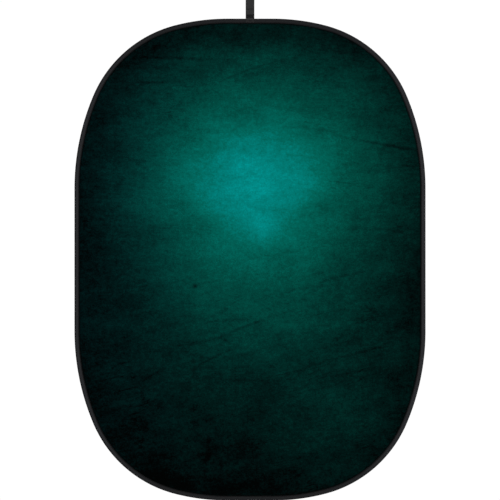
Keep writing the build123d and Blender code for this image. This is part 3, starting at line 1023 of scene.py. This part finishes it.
def sew(name, sides, rows, finish, nodes, **moves):
    """Rows of thread on the outer faces of the plies on those sides."""
    starts, ends, out = [], [], []
    for side in sides:
        for row_starts, row_ends in rows:
            starts.append(on_ply(side, row_starts))
            ends.append(on_ply(side, row_ends))
            out.append(np.tile((0.0, float(side), 0.0), (len(row_starts), 1)))
    starts, ends, out = [np.concatenate(bag) for bag in (starts, ends, out)]
    piece = stitches(name, starts, ends, out, width=0.00075)
    return settle(piece, finish, "thread", nodes, **moves)


def make_strap(webbing, thread):
    make_webbing("strap_loop", loop_line(), webbing, ("loop_webbing",), TWIST)
    for name, side in (("front", -1), ("rear", 1)):
        nodes = ("neck_ply_" + name, "tail_" + name)
        make_webbing("strap_" + name, ply_line(side), webbing, nodes, SWING)
        low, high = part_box("tail_box_stitch_" + name)
        left, right = low[0] + 0.0006, high[0] - 0.0006
        bottom, top = low[2] + 0.0016, high[2] - 0.0014
        rows = [
            zigzag(right, level - 0.0012, level + 0.0012, TACK_THREADS) for level in (bottom, top)]
        rows += [running((x, bottom), (x, top)) for x in (left, right)]
        rows += [running((left, bottom), (right, top)), running((left, top), (right, bottom))]
        nodes = ("tail_box_stitch_" + name,)
        sew("box_stitch_" + name, (side,), rows, thread, nodes, body="upper_panel")

    low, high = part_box("neck_bar_tack_upper")
    rows = [zigzag(high[0], low[2], high[2], TACK_THREADS)]
    sew("bar_tack_upper", (-1, 1), rows, thread, ("neck_bar_tack_upper",), body="strap_neck")
    low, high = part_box("neck_bar_tack_lower")
    levels = np.linspace(SWING_LEVEL + 0.0045, TOP + 0.0035, 7)
    rows = [zigzag(high[0], lower, upper, TACK_THREADS) for upper, lower in zip(levels, levels[1:])]
    sew("bar_tack_lower", (-1, 1), rows, thread, ("neck_bar_tack_lower",), bend=SWING)


# --- The model ----------------------------------------------------------------------------------

thread = thread_finish()
tape = binding_finish()

blued, stained = (0.42, 0.43, 0.46, 1.0), (0.10, 0.11, 0.16, 1.0)
make_hoop(steel_finish("spring_steel", "laid", blued, stained, 0.38))
make_binding(tape)
make_lap(tape, thread)
make_seam("front", -1, thread)
make_seam("rear", 1, thread)
make_cloth("front", -1, printed_cloth())
make_cloth("rear", 1, rear_finish())
make_strap(webbing_finish(), thread)

bright, dull = (0.62, 0.62, 0.62, 1.0), (0.35, 0.35, 0.36, 1.0)
ferrule = steel_finish("ferrule", "position", bright, dull, 0.3)
for node, finish in (("hoop_ferrule", ferrule), ("ferrule_wrap", wrap_finish())):
    shown = frame["nodes"][node]
    shown.data.materials.clear()
    shown.data.materials.append(finish)

# --- Floor, light and camera --------------------------------------------------------------------

CAMERA_DISTANCE = 8.0
PICTURE_WIDTH = 2.1798        # metres across the picture at the panel
PICTURE_RISE = 0.0418         # the picture's middle above the panel's middle
FLOOR_DROP = 0.35             # from the panel's lower edge to the floor
FLOOR_RADIUS = 2.5            # beyond this the camera would see it behind the panel
FLOOR_CLEAR = 0.9             # the floor fades into the white surroundings from here out
SEEN_WHITE = 1.03             # the surroundings as the camera sees them
CAST_WHITE = 0.5              # the surroundings as they light the panel


def surroundings(tree):
    """Strength of the white surroundings for each ray, as a node's output."""
    rays = tree.nodes.new("ShaderNodeLightPath")
    strength = tree.nodes.new("ShaderNodeMapRange")
    strength.inputs["To Min"].default_value = CAST_WHITE
    strength.inputs["To Max"].default_value = SEEN_WHITE
    tree.links.new(rays.outputs["Is Camera Ray"], strength.inputs["Value"])
    return strength.outputs[0]


def make_floor():
    """A round slab whose edge fades into the surroundings."""
    level = BOTTOM - FLOOR_DROP
    turns = np.linspace(0, 2 * math.pi, 97)[:-1]
    ring = [(FLOOR_RADIUS * math.cos(turn), FLOOR_RADIUS * math.sin(turn), level) for turn in turns]
    mesh = bpy.data.meshes.new("floor")
    mesh.from_pydata(ring, [], [tuple(range(len(ring)))])
    floor = bpy.data.objects.new("floor", mesh)
    bpy.context.scene.collection.objects.link(floor)

    finish = Finish("floor")
    x, y = finish.split(finish.position())
    distance = finish.calc("SQRT", x * x + y * y)
    fade = finish.span(distance, FLOOR_CLEAR, FLOOR_RADIUS - 0.05, smooth=True)
    speckle = finish.noise(finish.position(), 60.0, 4.0)
    pale = finish.mix(
        finish.span(speckle, -0.3, 0.3), (0.80, 0.80, 0.79, 1), (0.86, 0.86, 0.85, 1))
    white = Value(finish, surroundings(finish.tree))
    mesh.materials.append(finish.done(
        Base_Color=finish.mix(fade, pale, (0, 0, 0, 1)), Roughness=0.7, Specular_IOR_Level=0.0,
        Emission_Color=(1, 1, 1, 1), Emission_Strength=fade * white))


def make_world():
    world = bpy.data.worlds.new("studio")
    bpy.context.scene.world = world
    world.use_nodes = True
    background = world.node_tree.nodes["Background"]
    background.inputs["Color"].default_value = (1, 1, 1, 1)
    world.node_tree.links.new(surroundings(world.node_tree), background.inputs["Strength"])


def softbox(name, place, aim, size, power):
    light = bpy.data.lights.new(name, "AREA")
    light.shape = "RECTANGLE"
    light.size, light.size_y = size
    light.energy = power
    lamp = bpy.data.objects.new(name, light)
    lamp.location = place
    lamp.rotation_euler = (Vector(aim) - Vector(place)).to_track_quat("-Z", "Y").to_euler()
    lamp.visible_camera = False
    bpy.context.scene.collection.objects.link(lamp)


make_floor()
make_world()
softbox("key", (-2.4, -4.4, MIDDLE + 1.7), (0, 0, MIDDLE - 0.1), (2.4, 2.4), 128)
softbox("fill", (3.2, -4.2, MIDDLE + 0.2), (0, 0, MIDDLE - 0.2), (2.4, 3.0), 72)
softbox("back", (2.6, 3.6, MIDDLE + 2.6), (0, 0, MIDDLE), (1.8, 1.8), 110)

camera_data = bpy.data.cameras.new("camera")
camera_data.lens = camera_data.sensor_width * CAMERA_DISTANCE / PICTURE_WIDTH
camera_data.clip_end = 100
camera = bpy.data.objects.new("camera", camera_data)
camera.location = (0.0, -CAMERA_DISTANCE, MIDDLE + PICTURE_RISE)
camera.rotation_euler = (math.pi / 2, 0, 0)
bpy.context.scene.collection.objects.link(camera)
bpy.context.scene.camera = camera
bpy.context.scene.view_settings.view_transform = "Standard"
